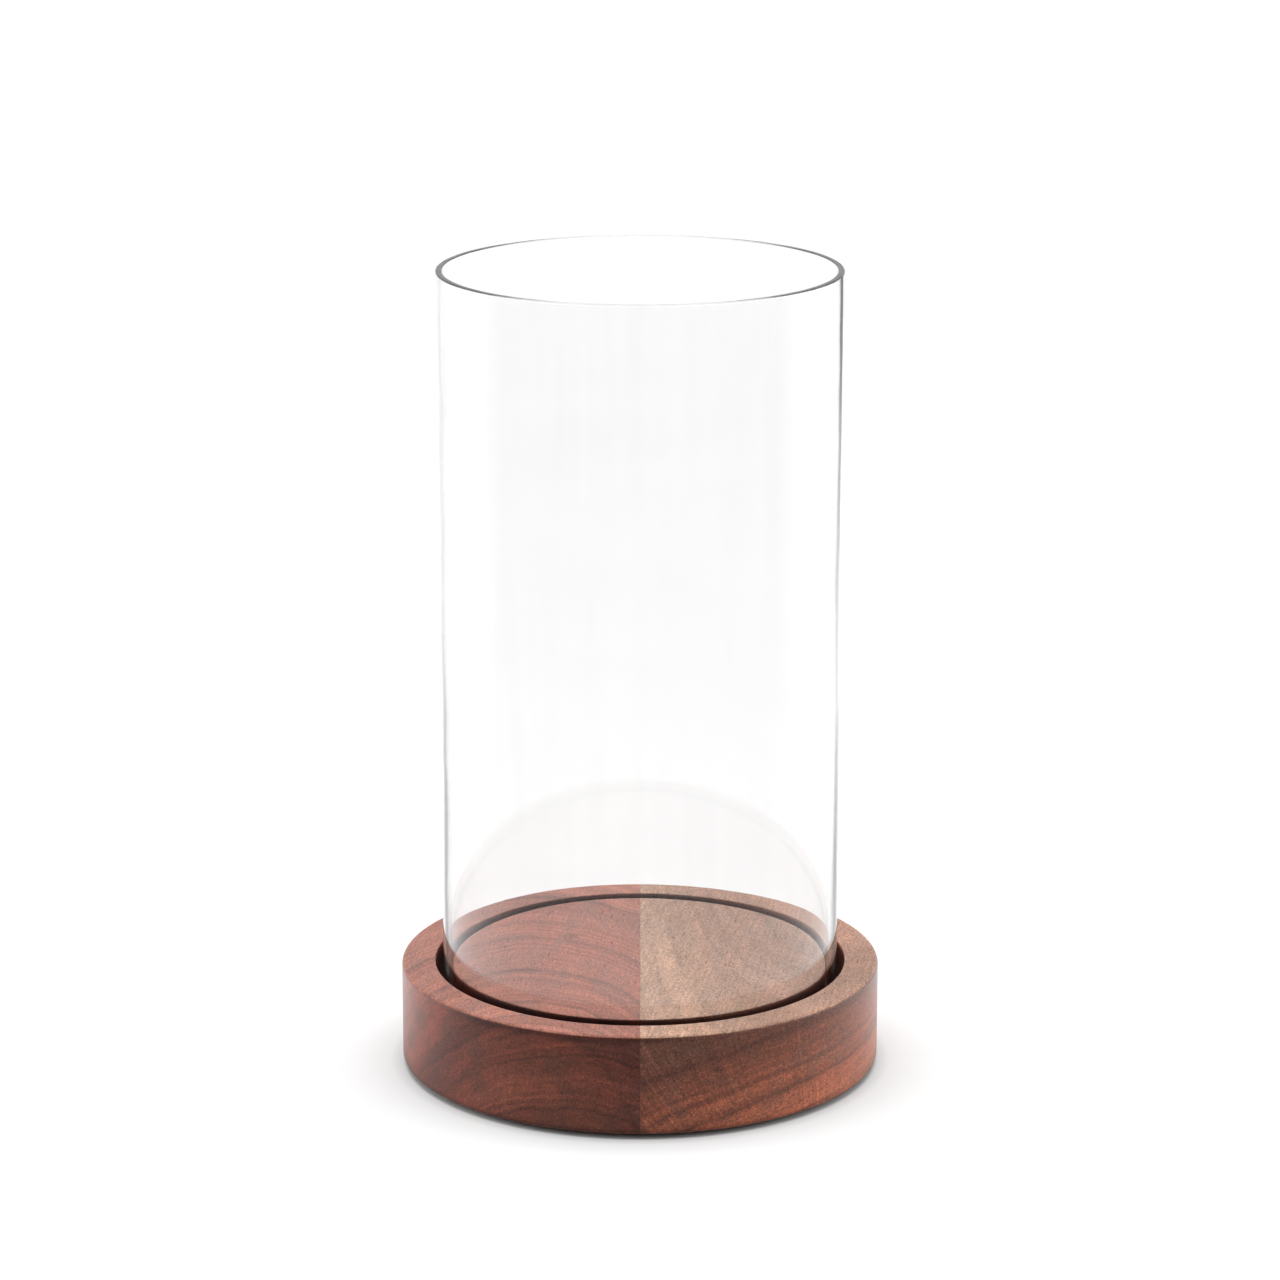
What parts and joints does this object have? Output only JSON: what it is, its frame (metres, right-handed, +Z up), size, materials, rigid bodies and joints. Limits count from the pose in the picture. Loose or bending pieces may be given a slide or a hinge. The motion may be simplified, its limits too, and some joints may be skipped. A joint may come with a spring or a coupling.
{
  "type": "display cylinder with wood base",
  "caption": "Open-ended clear glass cylinder that stands in a ring groove in a round two-tone wood display base.",
  "frame": {"origin": "centre of the footprint on the table plane, so the foot pads' undersides lie in z = 0", "axes": "+Z up, along the axis of the glass and the base; the base's glue line lies in the plane x = 0 and runs front to back; -Y is the front; -X is the reddish board's side, +X the tan board's side"},
  "size_m": [0.1524, 0.1524, 0.2562],
  "materials": {
    "reddish_wood": "oiled satin, reddish brown with dark wavy grain",
    "tan_wood": "oiled satin, tan top running to grey-brown with dark streaks",
    "clear_glass": "clear, colourless, polished, rims ground",
    "felt": "short dark pressed felt"
  },
  "bodies": {
    "base": {"base_left_board": "reddish_wood", "base_right_board": "tan_wood", "foot_pad_front_left": "felt", "foot_pad_front_right": "felt", "foot_pad_rear_left": "felt", "foot_pad_rear_right": "felt"},
    "glass": {"glass_cylinder": "clear_glass"}
  },
  "joints": [
    {"name": "glass_lift", "type": "slide", "parent": "base", "child": "glass", "axis": [0, 0, 1], "range_m": [0, 0.06]}
  ]
}
